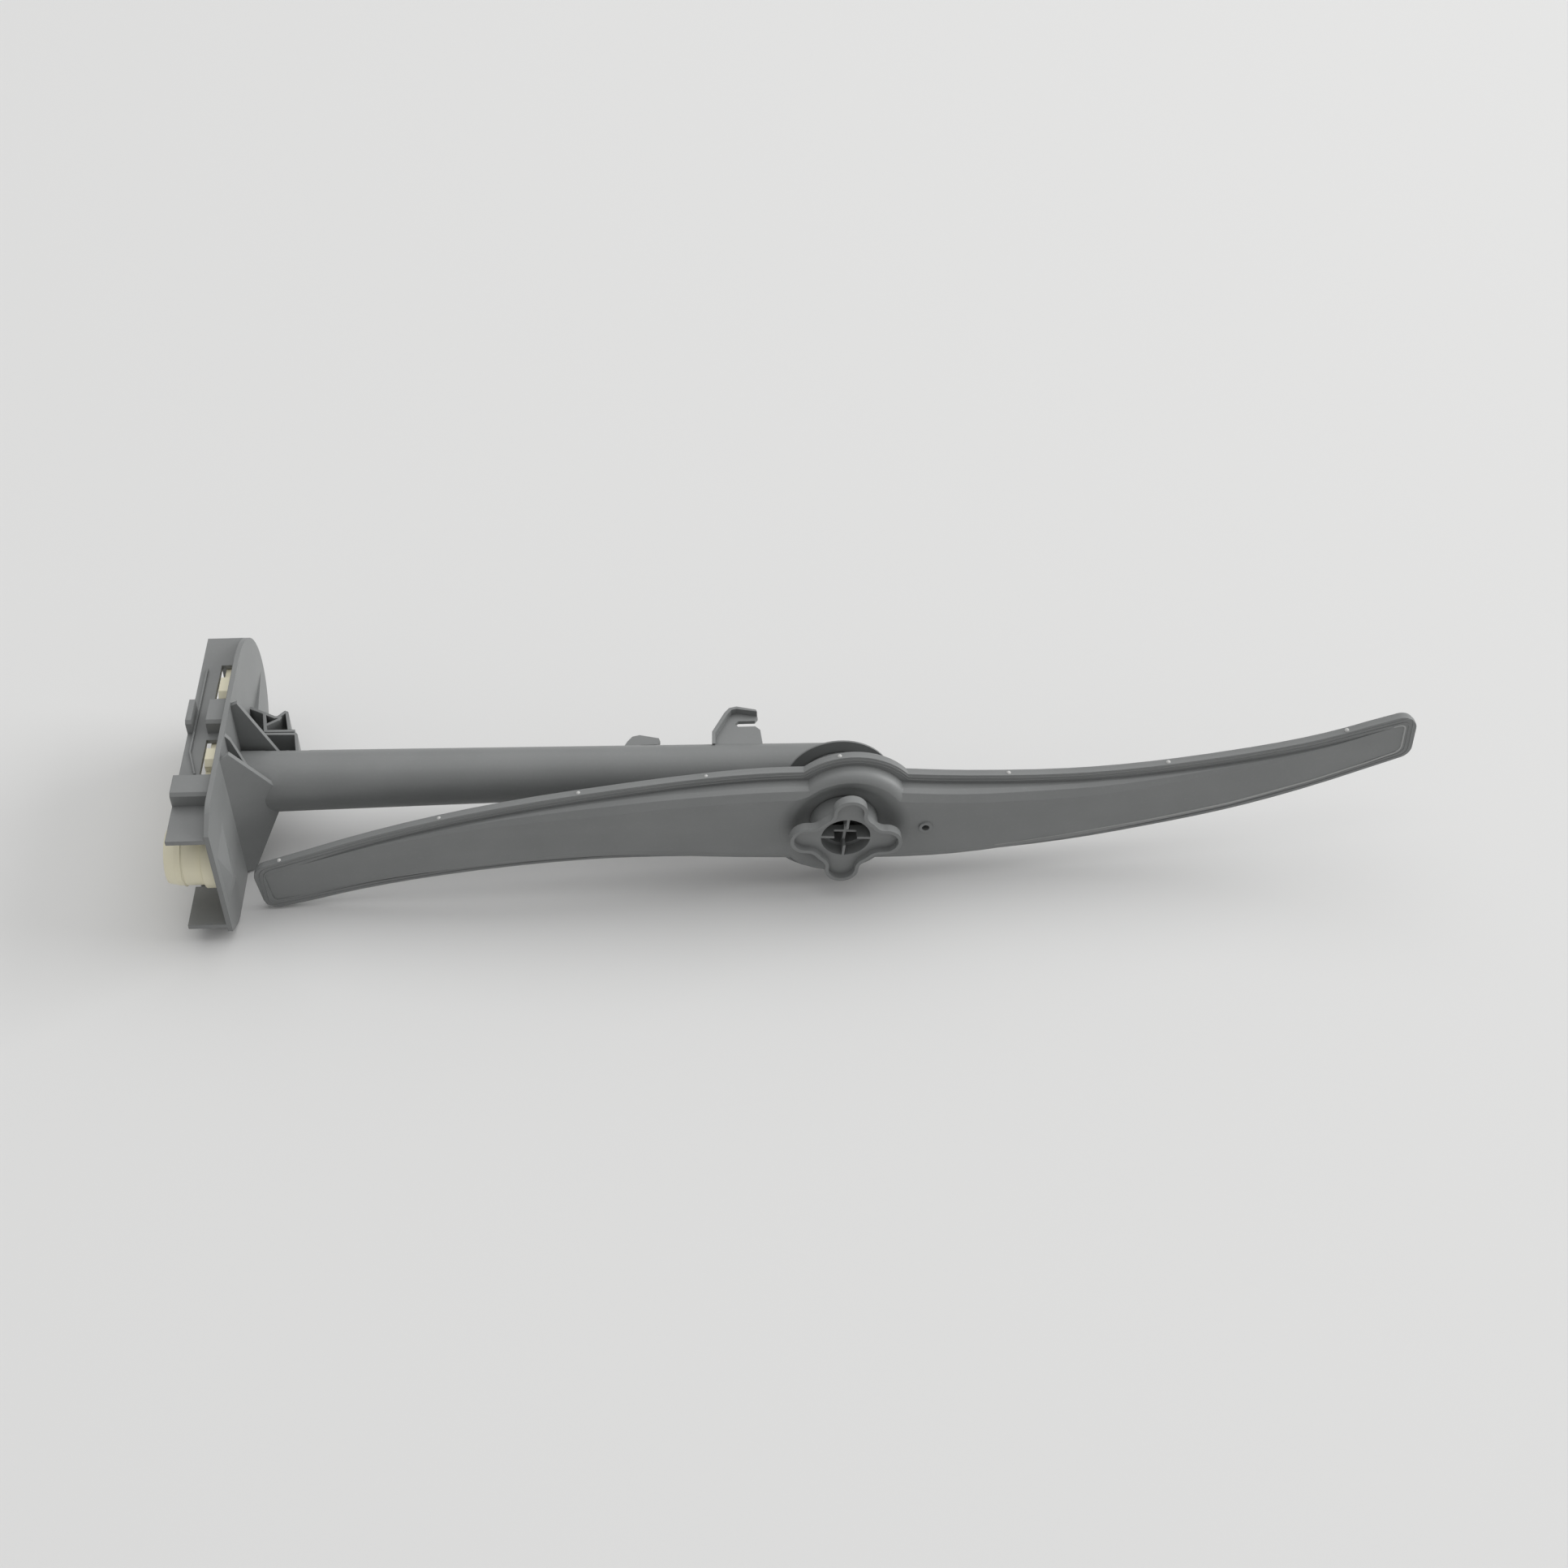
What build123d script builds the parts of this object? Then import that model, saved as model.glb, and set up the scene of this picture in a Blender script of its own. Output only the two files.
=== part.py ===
import os
from math import cos, radians, sin
from build123d import *

os.makedirs("parts", exist_ok=True)

# Frame: millimetres. +X runs along the feed pipe from the docking mouth to the hub, +Z is up as the part
# lies on its side, and +Y points to the in-use top. The origin is the centre of the docking mouth.

# Feed pipe and hub; t is measured along the hub axis, from the pipe axis towards the in-use underside
PIPE_Y = 40.3
PIPE_R_PLATE = 12.7
PIPE_R_HUB = 9.45
PIPE_WALL = 2.0
HUB_X = 265.0
HUB_TILT = 3.1
HUB_DISC_R = 21.5
HUB_DISC_CHAMFER = 1.7
HUB_DISC_BACK = 5.8
HUB_DISC_FRONT = 8.3
SPIGOT_R = 12.0
SPIGOT_WALL = 1.8
SPIGOT_END = 34.0
PORT_WIDTH = 9.0
PORT_HEIGHT = 6.0

# Docking plate, as y from the pipe axis and half width in z
PLATE_FRONT = 22.5
PLATE_THICK = 2.0
PLATE_NEAR = -57.0
PLATE_TAPER = -46.0
PLATE_CORNER_R = 12.0
PLATE_ROUND = 38.0
HALF_NEAR = 25.0
HALF_WIDE = 33.4
PLATE_FLARE = 2.0
GABLE_BASE = [(PLATE_NEAR, HALF_NEAR - 1.0), (-26.0, HALF_WIDE - 4.0)]
GABLE_PEAK = (2.4, -47.5, -5.0)
GUSSET = [(PLATE_FRONT, 66.0), (24.8, 38.0), (PLATE_FRONT, 38.0)]
GUSSET_WALL = 1.2

# Webs between the plate and the pipe: the outer edge as (x, half width) from the root
WEB_WALL = 1.9
WEB_ROOT = HALF_WIDE - 1.6
NEAR_WEB_RUN = ((PLATE_FRONT, -20.0), (40.0, -9.0))
NEAR_WEB_EDGE = ((25.7, HALF_WIDE - 0.5), (38.5, 7.0), (40.0, 4.0))
MID_WEB_Y = -5.3
MID_WEB_EDGE = ((24.1, HALF_WIDE - 3.9), (29.9, 9.0))
FAR_WEB_Y = 12.2
FAR_WEB_EDGE = ((25.1, HALF_WIDE - 0.4), (38.5, 2.6))

# Docking shroud behind the plate: flat walls with a hump near the mouth and another in the middle, the
# second split into a rear fin and a front bridge, and a round far end
SHROUD_REAR = 5.3
SHROUD_WALL = 2.0
HUMP_TOP = HALF_WIDE - 1.8
HUMP_NEAR = (-38.0, -27.2)
HUMP_MID = (2.8, 16.0)
HUMP_CHAMFER = 1.2
FIN_FRONT = 7.6
BRIDGE_REAR = 13.4
WINDOW_X = (13.4, 19.3)
WINDOW_NEAR = (-21.5, -0.9)
WINDOW_FAR = (18.4, 43.3)
RIB_LINE = [(7.6, 40.5), (7.6, -8.4), (11.3, -21.0)]
RIB_WIDTH = 0.8
RIB_HEIGHT = 1.1

# Docking slide with its nozzle
SLIDE_GAP = 0.5
SLIDE_THICK = 3.9
SLIDE_NEAR = -32.0
SLIDE_FAR = 46.0
NOZZLE_R = 11.9
NOZZLE_BORE_R = 9.4
NOZZLE_LIP_R = 11.0
NOZZLE_LIP_X = 4.2
NOZZLE_RIDGE_X = 6.6
NOZZLE_RIDGE = 0.5
FLANGE_R = 13.2
CHANNEL_HALF = 9.4
CHANNEL_DEPTH = 2.2
LUG_NEAR = (-16.5, -6.0)
LUG_FAR = (23.0, 35.5)
LUG_TOP = 27.4
LUG_CHAMFER = 2.2

# Spray arm in its own plane: a along the arm, b across it. The outline is its own half-turn copy.
SEAM_T = 25.5
LOWER_FLANGE = 2.0
UPPER_FLANGE = 1.8
SEAM_LIP = 0.6
BOSS_R = 29.0
BOSS_ROUND = 4.2
UPPER_BOSS_R = 21.0
BOSS_SHIFT = (3.0, 2.2)
RIM = 4.2
ARM_WALL = 2.0
LOWER_CREST = (34.6, 26.7)
UPPER_CREST = (17.5, 22.6)
CREST_FLAT = 42.0
SHOULDER = 5.0
UPPER_EDGE = [(-212, -2.7), (-188, 4.5), (-155, 12.3), (-125, 17.5), (-95, 21.2), (-65, 24.1), (-35, 25.5),
              (-15, 24.8), (15, 21.5), (35, 18.7), (65, 15.7), (95, 14.3), (125, 15.3), (155, 18.3),
              (188, 23.7), (208, 29.4)]
LOWER_EDGE = [(208, 5.4), (188, -2.1), (155, -11.9), (125, -18.0), (95, -22.8), (65, -25.5), (35, -26.4),
              (15, -25.6), (-15, -22.9), (-35, -20.9), (-65, -18.1), (-95, -16.5), (-125, -17.0),
              (-155, -19.2), (-188, -23.6), (-212, -28.7)]
LEFT_TIP = [(-233.6, -HALF_WIDE), (-236.6, -10.2)]
RIGHT_TIP = [(227.4, 35.0), (227.2, 12.8)]
TIP_FILLET = 6.0
SPIGOT_GAP = 0.4
DISH_R = (13.0, 26.0)
DISH_RUNOUT = 0.02
DISH_FLOOR = 30.4
DISH_SEAT_R = 14.5
JET_PLACE = (32.4, -3.0)
JET_R = 2.7
JET_HOLE_R = 1.5
JET_RISE = 0.8
SLOT_PLACES = [(64.0, 4.0), (104.0, -9.0), (144.0, 7.0), (184.0, 5.0)]
SLOT_LENGTH = 9.0
SLOT_WIDTH = 2.0
SLOT_TURN = 20.0

# Bearing ring and retaining nut
RING_WALL = 1.94
RING_FIT = 0.06
RING_LENGTH = 8.0
SEAT_WALL = 2.0
ARM_PLAY = 0.5
NUT_LOBES = 4
NUT_LOBE_REACH = 15.6
NUT_LOBE_R = 6.7
NUT_WAIST_R = 14.0
NUT_WAIST_FILLET = 5.0
NUT_TURN = -7.0
NUT_BACK = 39.4
NUT_FRONT = 43.2
NUT_RIM = 1.5
NUT_FLOOR = 1.2
NUT_COLLAR_R = 13.5
NUT_HOLE_R = 9.8
NUT_FIT = 0.05
PLUG_WALL = 1.8
PLUG_BACK = 29.0
CROSS_WALL = 1.1
CROSS_TOP = 40.6
CROSS_DIP = (4.6, 36.8)

# Rack hooks and wire clip on the pipe, as outlines in (x, y from the pipe axis)
HOOK_X = (214.7, 174.0)
HOOK_Z = 5.2
HOOK_PLATE = 1.6
HOOK_RIM = 4.4
HOOK_BACK = [(0, 5.0), (0, 12.0), (5.0, 23.0), (7.0, 25.8), (10.0, 26.6), (18.0, 24.4)]
HOOK_JAW = [(18.6, 22.6), (17.4, 20.6), (10.6, 20.6), (9.2, 19.2), (10.6, 17.4), (17.6, 17.4), (19.6, 15.2),
            (20.7, 5.0)]
HOOK_RIM_INNER = [(18.4, 23.2), (10.0, 25.2), (7.9, 24.6), (6.2, 22.2), (1.3, 11.4), (1.3, 5.0)]
CLIP_HALF = 6.0
CLIP_WALL = 1.3
CLIP_LOOP = [(22.0, 38.0), (27.7, 34.9), (33.5, 31.5), (34.8, 31.6), (37.4, 34.6), (38.2, 34.2), (40.4, 24.0)]
CLIP_TONGUE = [(30.4, 27.0), (35.2, 30.2), (35.8, 31.8)]
CLIP_POST = [(28.9, 34.0), (30.7, 23.0)]
CLIP_SHELF = [(30.6, 23.4), (42.8, 23.2)]
CLIP_BOX = [(22.0, 8.0), (22.0, 22.6), (43.4, 22.0), (44.2, 21.0), (46.4, 8.0)]
CLIP_BOX_FLOOR = 3.0


def polygon(*points):
    return make_face(Polyline(*points, close=True))


def prism_x(sketch, x0, x1):
    """Extrudes a (y from the pipe axis, z) sketch along the pipe."""
    plane = Plane(origin=(x0, PIPE_Y, 0), x_dir=(0, 1, 0), z_dir=(1, 0, 0))
    return extrude(plane * sketch, amount=x1 - x0)


def prism_y(sketch, y0, y1):
    """Extrudes an (x, -z) sketch across the pipe, with y measured from the pipe axis."""
    plane = Plane(origin=(0, PIPE_Y + y0, 0), x_dir=(1, 0, 0), z_dir=(0, 1, 0))
    return extrude(plane * sketch, amount=y1 - y0)


def prism_z(sketch, z0, z1):
    """Extrudes an (x, y from the pipe axis) sketch upwards."""
    plane = Plane(origin=(0, PIPE_Y, z0))
    return extrude(plane * sketch, amount=z1 - z0)


def slab(sketch, t0, t1):
    """Extrudes an (a, b) sketch along the hub axis."""
    return Pos(0, 0, t0) * extrude(sketch, amount=t1 - t0)


def disc(r, t0, t1):
    return slab(Circle(r), t0, t1)


def both_sides(points):
    """Closes an outline with its mirror image in the second coordinate."""
    return polygon(*points, *[(p, -q) for p, q in reversed(points)])


def half_turn(point):
    return (-point[0], -point[1])


tilt = radians(HUB_TILT)
hub = Location(Plane(origin=(HUB_X, PIPE_Y, 0), x_dir=(cos(tilt), sin(tilt), 0),
                     z_dir=(sin(tilt), -cos(tilt), 0)))
plate_back = PLATE_FRONT - PLATE_THICK
spigot_bore = SPIGOT_R - SPIGOT_WALL
ring_bore = SPIGOT_R + RING_FIT
ring_r = ring_bore + RING_WALL
ring_back = HUB_DISC_FRONT + ARM_PLAY
ring_front = ring_back + RING_LENGTH
arm_hole = SPIGOT_R + SPIGOT_GAP


def docking_plate():
    """A plate with a round far end, rounded near corners and a low gable on its front at the near end."""
    near = (PLATE_NEAR, HALF_NEAR + PLATE_FLARE)
    body = both_sides([near, (PLATE_TAPER, HALF_WIDE), (PLATE_ROUND, HALF_WIDE)])
    corners = [v for v in body.vertices() if abs(v.X - PLATE_TAPER) < PLATE_THICK]
    body = fillet(corners, radius=PLATE_CORNER_R) + Pos(PLATE_ROUND, 0) * Circle(HALF_WIDE)
    front = Plane(origin=(plate_back, PIPE_Y, 0), x_dir=(0, 1, 0), z_dir=(1, 0, 0))
    rise, peak_y, peak_z = GABLE_PEAK
    peak = Vertex(PLATE_FRONT + rise, PIPE_Y + peak_y, peak_z)
    return prism_x(body, plate_back, PLATE_FRONT) + loft([front * both_sides(GABLE_BASE), peak], ruled=True)


def web(y0, y1, edge):
    """A flat web across the pipe with its root in the plate."""
    root = [(plate_back, WEB_ROOT), (PLATE_FRONT, WEB_ROOT)]
    return prism_y(both_sides([*root, *edge]), y0, y1)


def near_web():
    (x0, y0), (x1, y1) = NEAR_WEB_RUN
    slope = (y1 - y0) / (x1 - x0)
    start = y0 - slope * PLATE_THICK
    run = polygon((plate_back, start), (x1, y1), (x1, y1 + WEB_WALL), (plate_back, start + WEB_WALL))
    return prism_z(run, -HALF_WIDE, HALF_WIDE) & web(PLATE_NEAR, 0, NEAR_WEB_EDGE)


def rack_hook(x, side):
    """A flat hook with an outer rim along its back, standing beside the pipe's crown."""
    plate = prism_z(polygon(*HOOK_BACK, *HOOK_JAW), HOOK_Z, HOOK_Z + HOOK_PLATE)
    rim = prism_z(polygon(*HOOK_BACK, *HOOK_RIM_INNER), HOOK_Z, HOOK_Z + HOOK_RIM)
    hook = Pos(x, 0, 0) * (plate + rim)
    return hook if side > 0 else mirror(hook, Plane.XY)


def clip_wall(points):
    path = Polyline(*points)
    return prism_z(trace(path, line_width=CLIP_WALL), -CLIP_HALF, CLIP_HALF)


def wire_clip():
    """A springy loop over a hollow box, both drawn across the pipe."""
    box = polygon(*CLIP_BOX)
    hollow = offset(box, amount=-CLIP_WALL, kind=Kind.INTERSECTION)
    body = prism_z(box, -CLIP_HALF, CLIP_HALF) - prism_z(hollow, CLIP_BOX_FLOOR - CLIP_HALF, CLIP_HALF)
    for points in (CLIP_LOOP, CLIP_TONGUE, CLIP_POST, CLIP_SHELF):
        body = body + clip_wall(points)
    return body


def feed_pipe():
    length = HUB_X - plate_back
    along = Plane(origin=(plate_back, PIPE_Y, 0), x_dir=(0, 1, 0), z_dir=(1, 0, 0))
    at_hub = Pos(HUB_X, PIPE_Y, 0)
    bore_plate = PIPE_R_PLATE - PIPE_WALL
    bore_hub = PIPE_R_HUB - PIPE_WALL
    half_web = WEB_WALL / 2
    body = along * Solid.make_cone(PIPE_R_PLATE, PIPE_R_HUB, length) + at_hub * Sphere(PIPE_R_HUB)
    gusset = prism_z(polygon(*GUSSET), -GUSSET_WALL / 2, GUSSET_WALL / 2)
    body = body + docking_plate() + gusset + near_web() + wire_clip()
    body = body + web(MID_WEB_Y - half_web, MID_WEB_Y + half_web, MID_WEB_EDGE)
    body = body + web(FAR_WEB_Y - half_web, FAR_WEB_Y + half_web, FAR_WEB_EDGE)
    body = body + rack_hook(HOOK_X[0], 1) + rack_hook(HOOK_X[1], -1)
    body = body - hub * disc(HUB_DISC_R, HUB_DISC_FRONT, 2 * PIPE_R_HUB)
    hub_disc = disc(HUB_DISC_R, HUB_DISC_BACK, HUB_DISC_FRONT)
    hub_disc = chamfer(hub_disc.edges().sort_by(Axis.Z)[0], length=HUB_DISC_CHAMFER)
    body = body + hub * (hub_disc + disc(SPIGOT_R, 0, SPIGOT_END))
    bore = along * Solid.make_cone(bore_plate, bore_hub, length) + at_hub * Sphere(bore_hub)
    bore = bore - hub * disc(HUB_DISC_R + PIPE_WALL, HUB_DISC_BACK, 2 * PIPE_R_HUB)
    bore = bore + hub * (disc(bore_hub, 0, HUB_DISC_FRONT) + disc(spigot_bore, HUB_DISC_FRONT, SPIGOT_END))
    cross = 2 * SPIGOT_R + 1
    port_t = SEAM_T - PORT_HEIGHT / 2
    ports = Box(cross, PORT_WIDTH, PORT_HEIGHT) + Box(PORT_WIDTH, cross, PORT_HEIGHT)
    return body - bore - hub * (Pos(0, 0, port_t) * ports)


def shroud_outline():
    y0, y1 = HUMP_NEAR
    side = [(PLATE_NEAR, HALF_NEAR), (y0, HALF_NEAR), (y0, HUMP_TOP - HUMP_CHAMFER),
            (y0 + HUMP_CHAMFER, HUMP_TOP), (y1, HUMP_TOP), (y1, HALF_NEAR), (PLATE_ROUND, HALF_NEAR)]
    far = Pos(PLATE_ROUND, 0) * (Circle(HALF_WIDE) & Rectangle(3 * HALF_WIDE, 2 * HALF_NEAR))
    return both_sides(side) + far


def mid_hump(inset):
    """One side of the middle hump in (y, z), from inside the wall to its chamfered top."""
    y0, y1 = HUMP_MID[0] + inset, HUMP_MID[1] - inset
    top = HUMP_TOP - inset
    low = HALF_NEAR - SHROUD_WALL
    return polygon((y0, low), (y0, top - HUMP_CHAMFER), (y0 + HUMP_CHAMFER, top), (y1, top), (y1, low))


def docking_shroud():
    outer = shroud_outline()
    inner = offset(outer, amount=-SHROUD_WALL, kind=Kind.INTERSECTION)
    mouth_half = HALF_NEAR - SHROUD_WALL
    mouth = Pos(PLATE_NEAR, 0) * Rectangle(4 * SHROUD_WALL, 2 * mouth_half)
    body = prism_x(outer - inner - mouth, SHROUD_REAR, plate_back)
    x0, x1 = WINDOW_X
    for y0, y1 in (WINDOW_NEAR, WINDOW_FAR):
        window = Pos((x0 + x1) / 2, PIPE_Y + (y0 + y1) / 2, 0) * Box(x1 - x0, y1 - y0, 4 * HALF_WIDE)
        body = body - window
    bridge = prism_x(mid_hump(0), BRIDGE_REAR, plate_back)
    fin = prism_x(mid_hump(0), SHROUD_REAR, FIN_FRONT)
    hollow = prism_x(mid_hump(SHROUD_WALL), BRIDGE_REAR + SHROUD_WALL, plate_back)
    back = [(x + RIB_WIDTH, y) for x, y in reversed(RIB_LINE)]
    rib = prism_z(polygon(*RIB_LINE, *back), HALF_NEAR - RIB_WIDTH, HALF_NEAR + RIB_HEIGHT)
    for piece in (bridge, fin, rib):
        body = body + piece + mirror(piece, Plane.XY)
    return body - hollow - mirror(hollow, Plane.XY)


def docking_slide():
    front = WINDOW_X[1] - SLIDE_GAP
    back = front - SLIDE_THICK
    half = HALF_NEAR - SHROUD_WALL - SLIDE_GAP
    at_mouth = Pos(-PIPE_Y, 0)
    body = prism_x(both_sides([(SLIDE_NEAR, half), (SLIDE_FAR, half)]), back, front)
    body = body + prism_x(at_mouth * Circle(FLANGE_R), back, plate_back - SLIDE_GAP)
    ridge = NOZZLE_R + NOZZLE_RIDGE
    profile = polygon((0, NOZZLE_BORE_R), (0, NOZZLE_LIP_R), (NOZZLE_LIP_X, NOZZLE_R),
                      (NOZZLE_RIDGE_X - NOZZLE_RIDGE, NOZZLE_R), (NOZZLE_RIDGE_X, ridge),
                      (NOZZLE_RIDGE_X + NOZZLE_RIDGE, NOZZLE_R), (back + NOZZLE_RIDGE, NOZZLE_R),
                      (back + NOZZLE_RIDGE, NOZZLE_BORE_R))
    body = body + revolve(profile, Axis.X)
    body = body - prism_x(at_mouth * Circle(NOZZLE_BORE_R), 0, PLATE_FRONT)
    channel = both_sides([(-PIPE_Y, CHANNEL_HALF), (PIPE_R_PLATE, CHANNEL_HALF)])
    body = body - prism_x(channel, front - CHANNEL_DEPTH, PLATE_FRONT)
    for y0, y1 in (LUG_NEAR, LUG_FAR):
        lug = polygon((y0, half - LUG_CHAMFER), (y0, LUG_TOP - LUG_CHAMFER), (y0 + LUG_CHAMFER, LUG_TOP),
                      (y1 - LUG_CHAMFER, LUG_TOP), (y1, LUG_TOP - LUG_CHAMFER), (y1, half - LUG_CHAMFER))
        lug = prism_x(lug, back, front)
        body = body + lug + mirror(lug, Plane.XY)
    return body


def inset_points(points, inset):
    """Moves the corners of a clockwise loop inwards, so that each side moves by the inset."""
    loop = [Vector(*p) for p in points]
    moved = []
    for before, here, after in zip(loop[-1:] + loop[:-1], loop, loop[1:] + loop[:1]):
        normals = [Vector(d.Y, -d.X) for d in ((here - before).normalized(), (after - here).normalized())]
        moved.append(here + (normals[0] + normals[1]) * (inset / (1 + normals[0].dot(normals[1]))))
    return moved


def arm_strip(inset):
    """The arm's S-shaped outline without its boss: two long curves and two straight-sided tips."""
    loop = inset_points([*LEFT_TIP, *UPPER_EDGE, *RIGHT_TIP, *LOWER_EDGE], inset)
    n = len(LEFT_TIP) + len(UPPER_EDGE)
    edges = []
    for first, last in ((loop[:n], loop[n]), (loop[n:], loop[0])):
        edges += [Line(first[0], first[1]), Line(first[1], first[2])]
        edges += [Spline(*first[2:]), Line(first[-1], last)]
    strip = make_face(edges)
    corners = [v for v in strip.vertices() if abs(v.X) > abs(UPPER_EDGE[0][0]) + TIP_FILLET]
    return fillet(corners, radius=max(TIP_FILLET - inset, ARM_WALL / 2))


def boss_plan(r):
    """Two overlapping discs, offset to either side of the hub axis."""
    a, b = BOSS_SHIFT
    return Pos(a, b) * Circle(r) + Pos(-a, -b) * Circle(r)


def crest_at(a, crest):
    """The panel's level: flat over the hub, then straight down to the tip."""
    share = max(0.0, abs(a) - CREST_FLAT) / (abs(LEFT_TIP[1][0]) - CREST_FLAT)
    return crest[0] + (crest[1] - crest[0]) * share


def crown(crest, side, inset, drop):
    """A long hump with rounded shoulders through sections across the arm; side is +1 for the lower shell."""
    edge = [LEFT_TIP[1], *UPPER_EDGE, RIGHT_TIP[0]]
    back = [LEFT_TIP[0], *reversed(LOWER_EDGE), RIGHT_TIP[1]]
    base = SEAM_T - side * SHOULDER
    sections = []
    for (a, b_high), (_, b_low) in zip(edge, back):
        top = crest_at(a, crest) - side * drop
        rise = side * (top - SEAM_T) - LOWER_FLANGE
        r = min(max(rise, SEAM_LIP / 2), SHOULDER - drop)
        shoulder = [(0, r), (r, 0)] if drop else [(0, r), (0.3 * r, 0.3 * r), (r, 0)]
        profile = [(inset, base)] + [(inset + d, top - side * h) for d, h in shoulder]
        low = [(b_low + d, t) for d, t in profile]
        high = [(b_high - d, t) for d, t in reversed(profile)]
        plane = Plane(origin=(a, 0, 0), x_dir=(0, 1, 0), z_dir=(1, 0, 0))
        sections.append(plane * polygon(*low, *high))
    return loft(sections)


def from_seam(sketch, t):
    """Extrudes an (a, b) sketch from the seam to the level t on either side of it."""
    return slab(sketch, min(SEAM_T, t), max(SEAM_T, t))


def boss(r, level, side):
    """The round boss over the hub with a rounded rim on its outer face."""
    body = from_seam(boss_plan(r), level)
    rim = body.faces().sort_by(Axis.Z)[-1 if side > 0 else 0]
    return fillet(rim.edges(), radius=BOSS_ROUND)


def shell(crest, side, flange, lip, boss_r):
    """A flange along the seam and a hump rising from it; also returns the hollow under the hump."""
    beyond = SEAM_T + side * 3 * SHOULDER
    inner = arm_strip(RIM)
    hump = from_seam(inner, beyond) & crown(crest, side, RIM - SEAM_LIP, 0)
    rim = arm_strip(lip) + boss_plan(BOSS_R - lip)
    body = from_seam(rim - inner, SEAM_T + side * flange) + hump + boss(boss_r, crest[0], side)
    hollow = from_seam(arm_strip(RIM + ARM_WALL), beyond)
    hollow = hollow & crown(crest, side, RIM + ARM_WALL - SEAM_LIP, ARM_WALL)
    hollow = hollow + from_seam(boss_plan(boss_r - ARM_WALL), crest[0] - side * (ARM_WALL + SEAM_LIP))
    return body, hollow


def dish(drop):
    """The bowl round the nut: a hollow and a round arc that runs out just above the panel."""
    low, high = DISH_FLOOR - drop, LOWER_CREST[0] + DISH_RUNOUT - drop
    inner, outer = DISH_R
    hollow = TangentArc((inner, low), ((inner + outer) / 2, (low + high) / 2), tangent=(1, 0))
    round_arc = TangentArc(hollow @ 1, (outer, high), tangent=hollow % 1)
    top = high + SHOULDER
    sides = Polyline((outer, high), (outer, top), (0, top), (0, low), (inner, low))
    return revolve(Plane.XZ * make_face([hollow, round_arc, sides]), Axis.Z)


def arm_lower_shell():
    body, hollow = shell(LOWER_CREST, 1, LOWER_FLANGE, 0, BOSS_R - RIM)
    hollow = hollow - dish(ARM_WALL) - disc(DISH_SEAT_R, SEAM_T, DISH_FLOOR)
    body = body - hollow - dish(0) - disc(arm_hole, SEAM_T, LOWER_CREST[0])
    a, b = JET_PLACE
    level = crest_at(a, LOWER_CREST)
    body = body + Pos(a, b) * disc(JET_R, level - ARM_WALL, level + JET_RISE)
    return body - Pos(a, b) * disc(JET_HOLE_R, SEAM_T, level + JET_RISE)


def arm_upper_shell():
    body, hollow = shell(UPPER_CREST, -1, UPPER_FLANGE, SEAM_LIP, UPPER_BOSS_R)
    body = body - hollow + disc(ring_r + SEAT_WALL, ring_back, UPPER_CREST[0] + ARM_WALL)
    body = body - disc(ring_r, ring_back, ring_front) - disc(arm_hole, ring_back, SEAM_T)
    slot = slab(SlotOverall(SLOT_LENGTH, SLOT_WIDTH), UPPER_CREST[0] - SHOULDER, SEAM_T)
    for a, b in SLOT_PLACES:
        for place in ((a, b), half_turn((a, b))):
            body = body - Pos(*place) * Rot(0, 0, SLOT_TURN) * slot
    return body


def bearing_ring():
    return disc(ring_r, ring_back, ring_front) - disc(ring_bore, ring_back, ring_front)


def retaining_nut():
    """A four-lobed hand nut with a collar over the spigot's end and a thin cross in its hole."""
    plan = Circle(NUT_WAIST_R)
    for k in range(NUT_LOBES):
        plan = plan + Rot(0, 0, 360 / NUT_LOBES * k) * (Pos(NUT_LOBE_REACH, 0) * Circle(NUT_LOBE_R))
    plan = fillet(plan.vertices(), radius=NUT_WAIST_FILLET)
    inner = offset(plan, amount=-NUT_RIM)
    plug_r = spigot_bore - NUT_FIT
    bore = plug_r - PLUG_WALL
    dip_r, dip_t = CROSS_DIP
    body = slab(plan, NUT_BACK, NUT_FRONT) - slab(inner, NUT_BACK + NUT_FLOOR, NUT_FRONT)
    body = body + disc(NUT_COLLAR_R, DISH_FLOOR + ARM_PLAY, NUT_BACK)
    body = body - disc(SPIGOT_R + NUT_FIT, DISH_FLOOR, SPIGOT_END)
    body = body + disc(plug_r, PLUG_BACK, SPIGOT_END) - disc(NUT_HOLE_R, SPIGOT_END + NUT_FLOOR, NUT_FRONT)
    body = body - disc(bore, PLUG_BACK, NUT_FRONT)
    cross = Box(2 * NUT_HOLE_R + 1, CROSS_WALL, CROSS_TOP - SPIGOT_END)
    cross = cross + Rot(0, 0, 90) * cross
    cross = Pos(0, 0, (CROSS_TOP + SPIGOT_END) / 2) * cross
    body = body + (cross - disc(dip_r, dip_t, NUT_FRONT))
    return Rot(0, 0, NUT_TURN) * body


nodes = {
    "feed_pipe": feed_pipe(),
    "docking_shroud": docking_shroud(),
    "docking_slide": docking_slide(),
    "arm_upper_shell": hub * arm_upper_shell(),
    "arm_lower_shell": hub * arm_lower_shell(),
    "bearing_ring": hub * bearing_ring(),
    "retaining_nut": hub * retaining_nut(),
}
for name, solid in nodes.items():
    export_step(solid, f"parts/{name}.step")
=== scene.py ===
import bpy
import numpy as np
from mathutils import Matrix, Vector


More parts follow.
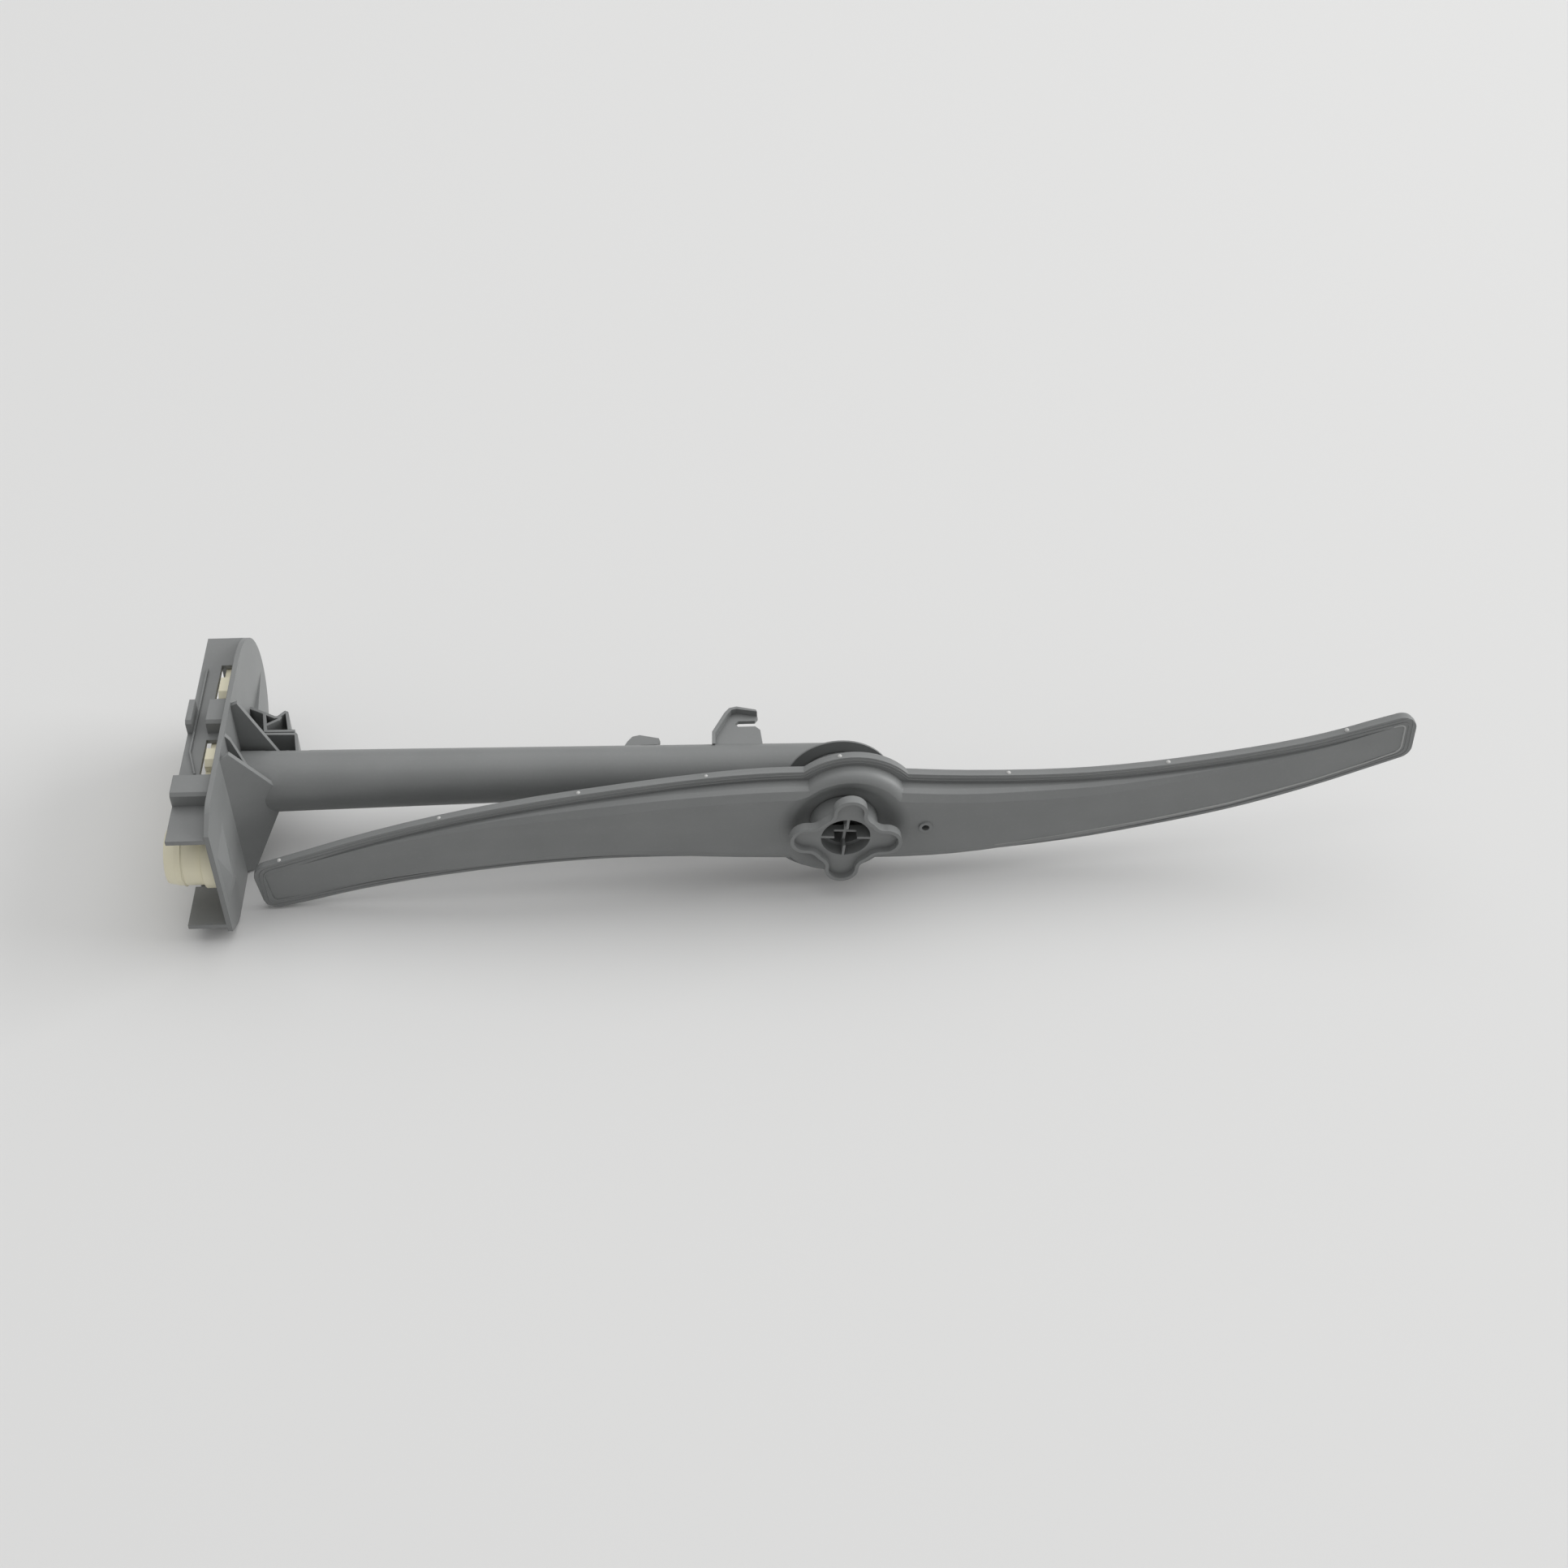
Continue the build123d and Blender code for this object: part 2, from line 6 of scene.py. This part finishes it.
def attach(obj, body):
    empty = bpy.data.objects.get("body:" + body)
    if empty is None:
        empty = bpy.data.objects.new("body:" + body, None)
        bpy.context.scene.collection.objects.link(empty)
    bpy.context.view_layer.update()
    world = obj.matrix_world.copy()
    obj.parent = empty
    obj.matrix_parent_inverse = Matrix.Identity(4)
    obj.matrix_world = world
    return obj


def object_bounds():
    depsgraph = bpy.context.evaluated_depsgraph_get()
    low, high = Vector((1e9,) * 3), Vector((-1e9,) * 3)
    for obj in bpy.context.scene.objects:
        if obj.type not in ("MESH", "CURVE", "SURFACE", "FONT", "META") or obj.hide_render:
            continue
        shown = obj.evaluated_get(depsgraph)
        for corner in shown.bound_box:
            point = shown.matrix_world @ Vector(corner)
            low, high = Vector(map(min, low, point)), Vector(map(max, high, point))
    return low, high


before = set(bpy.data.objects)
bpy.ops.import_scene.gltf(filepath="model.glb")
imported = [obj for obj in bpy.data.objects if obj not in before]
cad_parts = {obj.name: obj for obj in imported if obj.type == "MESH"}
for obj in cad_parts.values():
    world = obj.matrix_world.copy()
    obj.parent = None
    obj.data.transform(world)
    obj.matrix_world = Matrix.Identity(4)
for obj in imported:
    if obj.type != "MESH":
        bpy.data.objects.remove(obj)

cad_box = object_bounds()
MM = 0.001

# Feed pipe with its docking plate, webs, wire clip, rack hooks and spigot: one moulding of grey talc-filled
# polypropylene. Its faces have a fine spark-eroded grain, and its moulded edges are slightly rounded.
GREY_FACE = (0.192, 0.198, 0.197, 1.0)
GREY_DUST = (0.240, 0.246, 0.245, 1.0)
# The darkest grey is painted shade, used in corners and creases.
GREY_PAINTED_SHADE = (0.110, 0.113, 0.112, 1.0)
GREY_GLOSS = 0.40
GREY_GRAIN = 0.22
SPECULAR_LEVEL = 0.4
EDGE_ROUND = 0.35 * MM
EDGE_SAMPLES = 6
GRAIN_DEPTH = 0.08 * MM
CLOUD_SCALE = 45.0
CLOUD_DETAIL = 3.0
CLOUD_BAND = (0.35, 0.75)
CLOUD_DUST = 0.35
CLOUD_GLOSS = 0.12
FLOW_SCALE = 60.0
FLOW_DETAIL = 4.0
FLOW_STRETCH = (0.12, 1.0, 1.0)
FLOW_BAND = (0.45, 0.75)
FLOW_DUST = 0.2
FLOW_GLOSS = 0.05
SPECK_SCALE = 900.0
SPECK_DETAIL = 2.0
SPECK_BAND = (0.55, 0.8)
SPECK_DUST = 0.25
# Painted shade: an ambient occlusion mask darkens corners and creases within this reach towards the darker
# colour.
PAINTED_SHADE_REACH = 3.0 * MM
PAINTED_SHADE_SAMPLES = 8
PAINTED_SHADE_BAND = (0.2, 0.7)
PAINTED_SHADE_LEAST = 0.35
PAINTED_SHADE_CLOUD = 0.4


class Wire:
    """One output of a node; sums, differences and products of wires add Math nodes."""

    def __init__(self, tree, socket=None):
        self.tree = tree
        self.socket = socket

    def node(self, kind, settings=(), inputs=(), output=0):
        """Adds a node: its settings first, then the values or wires of its sockets."""
        made = self.tree.nodes.new(kind)
        for name, value in dict(settings).items():
            setattr(made, name, value)
        for key, value in dict(inputs).items():
            if isinstance(value, Wire):
                self.tree.links.new(value.socket, made.inputs[key])
            else:
                made.inputs[key].default_value = value
        return Wire(self.tree, made.outputs[output])

    def math(self, operation, first, second):
        """Adds a Math node on two values or wires."""
        return self.node("ShaderNodeMath", {"operation": operation}, {0: first, 1: second})

    def __add__(self, other):
        return self.math("ADD", self, other)

    def __sub__(self, other):
        return self.math("SUBTRACT", self, other)

    def __rsub__(self, other):
        return self.math("SUBTRACT", other, self)

    def __mul__(self, other):
        return self.math("MULTIPLY", self, other)

    __radd__ = __add__
    __rmul__ = __mul__

    def noise(self, scale, detail, stretch=(1.0, 1.0, 1.0)):
        """Smooth noise about 0.5 on the piece's own place, with features of 1 / scale metres."""
        place = self.node("ShaderNodeTexCoord", output="Object")
        place = self.node("ShaderNodeMapping", inputs={"Vector": place, "Scale": stretch})
        return self.node("ShaderNodeTexNoise", inputs={"Vector": place, "Scale": scale, "Detail": detail})

    def between(self, low, high):
        """0 below low, 1 above high, and straight in between."""
        limits = {"Value": self, "From Min": low, "From Max": high}
        return self.node("ShaderNodeMapRange", {"clamp": True}, limits)

    def blend(self, first, second):
        """Mixes two colours, with this wire as the share of the second."""
        return self.node("ShaderNodeMix", {"data_type": "RGBA"}, {0: self, 6: first, 7: second}, output=2)


def moulded_plastic(name, face, dust, shade_colour, gloss, grain):
    """Satin moulded plastic: cloudy colour with flow marks, painted shade in the corners and creases, fine
    grain, round edges.
    """
    material = bpy.data.materials.new(name)
    material.use_nodes = True
    tree = material.node_tree
    shader = tree.nodes["Principled BSDF"]
    shader.inputs["Specular IOR Level"].default_value = SPECULAR_LEVEL
    wire = Wire(tree)
    cloud = wire.noise(CLOUD_SCALE, CLOUD_DETAIL)
    flow = wire.noise(FLOW_SCALE, FLOW_DETAIL, FLOW_STRETCH)
    speck = wire.noise(SPECK_SCALE, SPECK_DETAIL)
    share = cloud.between(*CLOUD_BAND) * CLOUD_DUST + flow.between(*FLOW_BAND) * FLOW_DUST
    share = share + speck.between(*SPECK_BAND) * SPECK_DUST
    reach = {"Distance": PAINTED_SHADE_REACH}
    # Painted shade: where the ambient occlusion finds corners and creases, the colour is darkened towards the
    # shade colour.
    free = wire.node("ShaderNodeAmbientOcclusion", {"samples": PAINTED_SHADE_SAMPLES}, reach, output="AO")
    shade_share = (1.0 - free.between(*PAINTED_SHADE_BAND)) * (PAINTED_SHADE_LEAST + cloud * PAINTED_SHADE_CLOUD)
    colour = shade_share.blend(share.blend(face, dust), shade_colour)
    tree.links.new(colour.socket, shader.inputs["Base Color"])
    rough = gloss + cloud * CLOUD_GLOSS - flow * FLOW_GLOSS
    tree.links.new(rough.socket, shader.inputs["Roughness"])
    edge = wire.node("ShaderNodeBevel", {"samples": EDGE_SAMPLES}, {"Radius": EDGE_ROUND})
    height = {"Strength": grain, "Distance": GRAIN_DEPTH, "Height": speck, "Normal": edge}
    tree.links.new(wire.node("ShaderNodeBump", inputs=height).socket, shader.inputs["Normal"])
    return material


def make_of(plastic, *pieces):
    """Gives pieces of the frame one plastic in place of the materials they came with."""
    for piece in pieces:
        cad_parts[piece].data.materials.clear()
        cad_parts[piece].data.materials.append(plastic)


grey_plastic = moulded_plastic("grey_polypropylene", GREY_FACE, GREY_DUST, GREY_PAINTED_SHADE, GREY_GLOSS, GREY_GRAIN)
make_of(grey_plastic, "feed_pipe")

# Docking shroud: the thin-walled cover on the back of the docking plate, with two humps, a fin and open
# windows for the slide's lugs. It is moulded in the same grey polypropylene and welded to the plate.
make_of(grey_plastic, "docking_shroud")

# Docking slide: the cream acetal nozzle and its carrier, which move a few millimetres in the shroud to meet
# the water outlet. It is smoother than the grey parts and a little yellowed.
CREAM_FACE = (0.76, 0.72, 0.55, 1.0)
CREAM_AGED = (0.80, 0.75, 0.56, 1.0)
# The dark cream is painted shade, used in corners and creases.
CREAM_PAINTED_SHADE = (0.36, 0.33, 0.23, 1.0)
CREAM_GLOSS = 0.34
CREAM_GRAIN = 0.12
cream_plastic = moulded_plastic("cream_acetal", CREAM_FACE, CREAM_AGED, CREAM_PAINTED_SHADE, CREAM_GLOSS, CREAM_GRAIN)
make_of(cream_plastic, "docking_slide")

# Bearing ring: a plain bush between the arm and the spigot. It is moulded in the same cream acetal as the
# slide and pressed into the arm's upper collar.
make_of(cream_plastic, "bearing_ring")

# Spray arm: two grey polypropylene shells, each with a flange along its edge and a hump that carries the
# water. The flanges are welded together face to face.
make_of(grey_plastic, "arm_upper_shell", "arm_lower_shell")

# Beads on the flange: two fine raised lines that run round the lower shell beside its edge, moulded with the
# shell to hold the melt of the weld. The arm's own lengths are millimetres along it (a), across it (b) and
# out of the hub (t).
ARM_HUB = np.array([265.0, 40.3, 0.0])
ARM_OUT = np.array([0.0540788, -0.9985367, 0.0])
ARM_UP = np.array([0.0, 0.0, 1.0])
ARM_ALONG = np.cross(ARM_UP, ARM_OUT)
ARM_A = [-237, -212, -188, -155, -125, -95, -65, -35, -15, 15, 35, 65, 95, 125, 155, 188, 208, 228]
ARM_TOP = [-10.3, -2.7, 4.5, 12.3, 17.5, 21.2, 24.1, 25.5, 24.8, 21.5, 18.7, 15.7, 14.3, 15.3, 18.3, 23.7,
           29.4, 35.0]
ARM_LOW = [-33.4, -28.7, -23.6, -19.2, -17.0, -16.5, -18.1, -20.9, -22.9, -25.6, -26.4, -25.5, -22.8, -18.0,
           -11.9, -2.1, 5.4, 13.0]
ARM_ENDS = (-235.0, 227.2)
EDGE_MARGIN = 30.0
EDGE_SMOOTHING = 17
BOSS_R = 29.0
BOSS_SHIFT = (3.0, 2.2)
FLANGE_FACE = 27.5
BEAD_R = 0.28
BEAD_SIDES = 10
BEAD_INSETS = {"outer_flange_bead": 1.3, "inner_flange_bead": 2.8}
CORNER = 7.0
STEP = 0.5
END_POINTS = 40


def arm_place(a, b, t):
    """Turns the arm's own lengths along, across and out of the hub into metres of the shared frame."""
    along = np.multiply.outer(a, ARM_ALONG)
    across = np.multiply.outer(b, ARM_UP)
    out = np.multiply.outer(t, ARM_OUT)
    return (ARM_HUB + along + across + out) * MM


def arm_edge(a, side):
    """The arm's edge above (side 1) or below (side -1): a line through the points, smoothed by a bell-shaped
    running mean, or the boss's circle where that reaches further."""
    fine = np.arange(ARM_A[0] - EDGE_MARGIN, ARM_A[-1] + EDGE_MARGIN + 1.0)
    line = np.interp(fine, ARM_A, ARM_TOP if side > 0 else ARM_LOW)
    bell = np.hanning(EDGE_SMOOTHING + 2)[1:-1]
    line = np.convolve(np.pad(line, EDGE_SMOOTHING // 2, mode="edge"), bell / bell.sum(), mode="valid")
    strip = np.interp(a, fine, line)
    reach = np.sqrt(np.maximum(BOSS_R ** 2 - (a - side * BOSS_SHIFT[0]) ** 2, 0.0))
    inside = np.abs(a - side * BOSS_SHIFT[0]) < BOSS_R
    disc = np.where(inside, side * (reach + BOSS_SHIFT[1]), strip)
    return np.where(side * disc > side * strip, disc, strip)


def surface(name, rows, material, wrap_rows=False):
    """Makes a mesh object from a grid of points: each row is closed into a ring, and four-sided faces join
    each row to the next one, and the last row to the first where the rows wrap."""
    count, ring = rows.shape[:2]
    index = np.arange(count * ring).reshape(count, ring)
    ahead = np.roll(index, -1, axis=0)
    quads = np.stack([index, np.roll(index, -1, axis=1), np.roll(ahead, -1, axis=1), ahead], axis=-1)
    quads = quads if wrap_rows else quads[:-1]
    mesh = bpy.data.meshes.new(name)
    mesh.from_pydata(rows.reshape(-1, 3), [], quads.reshape(-1, 4))
    mesh.polygons.foreach_set("use_smooth", np.ones(len(mesh.polygons), dtype=bool))
    mesh.materials.append(material)
    made = bpy.data.objects.new(name, mesh)
    bpy.context.collection.objects.link(made)
    return made


def swept_bead(name, path, level, radius, material, closed):
    """A round bead along a path: each ring is a circle of the radius, square to the path's direction."""
    step = np.gradient(path, axis=0)
    step = step / np.linalg.norm(step, axis=1, keepdims=True)
    turn = np.linspace(0.0, 2 * np.pi, BEAD_SIDES, endpoint=False)
    a = path[:, :1] - step[:, 1:] * radius * np.cos(turn)
    b = path[:, 1:] + step[:, :1] * radius * np.cos(turn)
    t = level[:, None] + radius * np.sin(turn)
    return surface(name, arm_place(a, b, t), material, wrap_rows=closed)


def inset_loop(inset):
    """The arm's edge line moved inwards by a length that may vary with the place along the arm; a running
    mean rounds its corners at the tips."""
    a = np.arange(ARM_ENDS[0] + inset(ARM_ENDS[0]), ARM_ENDS[1] - inset(ARM_ENDS[1]), STEP)
    top = np.stack([a, arm_edge(a, 1) - inset(a)], axis=-1)
    low = np.stack([a, arm_edge(a, -1) + inset(a)], axis=-1)[::-1]
    right_end = np.linspace(top[-1], low[0], END_POINTS)[1:-1]
    left_end = np.linspace(low[-1], top[0], END_POINTS)[1:-1]
    loop = np.concatenate([top, right_end, low, left_end])
    run = int(CORNER / STEP) | 1
    wrapped = np.concatenate([loop[-run:], loop, loop[:run]])
    even = np.ones(run) / run
    smooth = np.stack([np.convolve(line, even, mode="same") for line in wrapped.T], axis=-1)
    near_end = (loop[:, 0] < a[0] + CORNER) | (loop[:, 0] > a[-1] - CORNER)
    return np.where(near_end[:, None], smooth[run:-run], loop)


for name, inset in BEAD_INSETS.items():
    path = inset_loop(lambda a: np.full(np.shape(a), inset))
    bead = swept_bead(name, path, np.full(len(path), FLANGE_FACE), BEAD_R, grey_plastic, True)
    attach(bead, "arm")

# Panel edge: the crisp ridge along the lower edge and the right end of the hump's flat top, moulded with the
# shell. It fades towards the hub; its paler grey is a painted highlight, the light caught by the sharp edge.
PANEL_LEVELS = (34.6, 26.7)
PANEL_FLAT = 42.0
PANEL_END = 236.6
HUMP_INSET = 3.6
SHOULDER_LIMITS = (0.3, 5.0)
RIDGE_R = 0.4
RIDGE_THIN = 0.3
RIDGE_FROM = 60.0
RIDGE_FADE = 110.0
RIDGE_LEAD = 12
# Painted highlight: the ridge's plastic is paler than the grey moulding so that the edge looks lit.
HIGHLIGHT_FACE = (0.36, 0.365, 0.36, 1.0)
HIGHLIGHT_DUST = (0.42, 0.425, 0.42, 1.0)
HIGHLIGHT_GLOSS = 0.40
HIGHLIGHT_GRAIN = 0.1
highlight_plastic = moulded_plastic("painted_highlight_polypropylene", HIGHLIGHT_FACE, HIGHLIGHT_DUST, GREY_FACE, HIGHLIGHT_GLOSS,
                                 HIGHLIGHT_GRAIN)


def panel_level(a):
    """The hump's flat top: level over the hub, then straight down to the tips."""
    share = np.clip((np.abs(a) - PANEL_FLAT) / (PANEL_END - PANEL_FLAT), 0.0, 1.0)
    return PANEL_LEVELS[0] + (PANEL_LEVELS[1] - PANEL_LEVELS[0]) * share


def panel_inset(a):
    """The width of the flange and of the shoulder beside it, which is as wide as the hump is high."""
    return HUMP_INSET + np.clip(panel_level(a) - FLANGE_FACE, *SHOULDER_LIMITS)


path = inset_loop(panel_inset)
right_corner = np.argmax(path.sum(axis=1))
path = path[right_corner - RIDGE_LEAD:]
path = path[path[:, 0] > RIDGE_FROM]
ridge_r = RIDGE_R * np.clip((path[:, :1] - RIDGE_FROM) / RIDGE_FADE, RIDGE_THIN, 1.0)
ridge_r[[0, -1]] = 0.0
ridge = swept_bead("panel_edge", path, panel_level(path[:, 0]), ridge_r, highlight_plastic, False)
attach(ridge, "arm")

# Weld pips: small pale drops of melted polypropylene along the arm's upper edge, pressed out of the seam when
# the two shells were welded.
PIP_PLACES = np.array([-224.9, -159.4, -103.9, -53.5, -0.9, 66.1, 129.9, 200.0])
PIP_R = 0.95
PIP_T = 26.0
PIP_SUNK = 0.35
PIP_RINGS = 11
PIP_SIDES = 16
PALE_FACE = (0.50, 0.50, 0.49, 1.0)
PALE_DUST = (0.56, 0.56, 0.55, 1.0)
PALE_GLOSS = 0.45
PALE_GRAIN = 0.1
pale_plastic = moulded_plastic("pale_polypropylene", PALE_FACE, PALE_DUST, GREY_FACE, PALE_GLOSS, PALE_GRAIN)


def weld_pips():
    """Spheres of one radius, each from rings of latitude, more than half sunk in the edge of the flange."""
    lift = np.linspace(-np.pi / 2, np.pi / 2, PIP_RINGS)[:, None]
    turn = np.linspace(0.0, 2 * np.pi, PIP_SIDES, endpoint=False)
    a = PIP_PLACES[:, None, None] + PIP_R * np.cos(lift) * np.cos(turn)
    b = arm_edge(PIP_PLACES, 1)[:, None, None] + PIP_R * np.cos(lift) * np.sin(turn) - PIP_SUNK
    t = PIP_T + PIP_R * np.sin(lift) + np.zeros_like(a)
    balls = arm_place(a, b, t)
    return [surface(f"weld_pip_{k}", ball, pale_plastic) for k, ball in enumerate(balls, start=1)]


for pip in weld_pips():
    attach(pip, "arm")

# Retaining nut: a four-lobed hand nut of grey polypropylene with a thin cross in its hole, turned on to the
# end of the spigot to hold the arm.
make_of(grey_plastic, "retaining_nut")

# Floor: a wide pale sheet of matt paper, level with the lowest point of the part, which lies on it. It is
# large enough to fill the view.
FLOOR_SIZE = 8.0
FLOOR_COLOUR = (0.70, 0.70, 0.695, 1.0)
FLOOR_ROUGH = 0.9
floor_z = cad_box[0][2]
corners = np.array([[-1, -1, 0], [1, -1, 0], [1, 1, 0], [-1, 1, 0]]) * FLOOR_SIZE / 2 + (0.0, 0.0, floor_z)
floor_mesh = bpy.data.meshes.new("floor")
floor_mesh.from_pydata(corners, [], [(0, 1, 2, 3)])
floor = bpy.data.objects.new("floor", floor_mesh)
bpy.context.collection.objects.link(floor)
floor_paint = bpy.data.materials.new("floor_paint")
floor_paint.use_nodes = True
floor_shader = floor_paint.node_tree.nodes["Principled BSDF"]
floor_shader.inputs["Base Color"].default_value = FLOOR_COLOUR
floor_shader.inputs["Roughness"].default_value = FLOOR_ROUGH
floor_mesh.materials.append(floor_paint)

# Light: a large soft panel to the right of the part, a weaker one overhead, and an even room. The camera sees
# the room about as pale as the floor. Each panel has its place and size in metres and its power in watts.
ROOM_STRENGTH = 0.50
ROOM_SEEN = 0.78
ROOM_COLOUR = (1.0, 1.0, 1.0, 1.0)
PANELS = {
    "side_panel": ((5.68, 1.27, 2.2), 4.4, 240.0),
    "top_panel": ((0.4, 0.9, 3.0), 4.5, 56.0),
}
PANEL_AIM = Vector((0.22, 0.03, 0.0))
world = bpy.data.worlds.new("room")
world.use_nodes = True
background = world.node_tree.nodes["Background"]
background.inputs["Color"].default_value = ROOM_COLOUR
seen = Wire(world.node_tree).node("ShaderNodeLightPath", output="Is Camera Ray")
strength = seen * (ROOM_SEEN - ROOM_STRENGTH) + ROOM_STRENGTH
world.node_tree.links.new(strength.socket, background.inputs["Strength"])
bpy.context.scene.world = world
for name, (place, size, power) in PANELS.items():
    light = bpy.data.lights.new(name, "AREA")
    light.size = size
    light.energy = power
    panel = bpy.data.objects.new(name, light)
    aim = PANEL_AIM - Vector(place)
    panel.matrix_world = Matrix.Translation(place) @ aim.to_track_quat("-Z", "Y").to_matrix().to_4x4()
    bpy.context.collection.objects.link(panel)

# Camera: looks down at 45 degrees on the side of the arm that has the nut, rolled a little, at the angle and
# distance of the photograph.
CAMERA_TARGET = Vector((243.4, 35.47, -4.83)) * MM
CAMERA_DISTANCE = 1020.0 * MM
CAMERA_ROLL = 0.0274
FOCAL_PIXELS = 3091.0
IMAGE_PIXELS = 1932.0
SENSOR_MM = 36.0
CLIP_START = 10.0 * MM
forward = Vector((0.0, 1.0, -1.0)).normalized()
level_up = Vector((0.0, 1.0, 1.0)).normalized()
level_right = Vector((1.0, 0.0, 0.0))
right = np.cos(CAMERA_ROLL) * level_right - np.sin(CAMERA_ROLL) * level_up
up = np.sin(CAMERA_ROLL) * level_right + np.cos(CAMERA_ROLL) * level_up
lens = bpy.data.cameras.new("camera")
lens.sensor_width = SENSOR_MM
lens.lens = SENSOR_MM * FOCAL_PIXELS / IMAGE_PIXELS
lens.clip_start = CLIP_START
camera = bpy.data.objects.new("camera", lens)
turn = Matrix((right, up, -forward)).transposed().to_4x4()
camera.matrix_world = Matrix.Translation(CAMERA_TARGET - forward * CAMERA_DISTANCE) @ turn
bpy.context.collection.objects.link(camera)
bpy.context.scene.camera = camera
bpy.context.scene.view_settings.view_transform = "Standard"
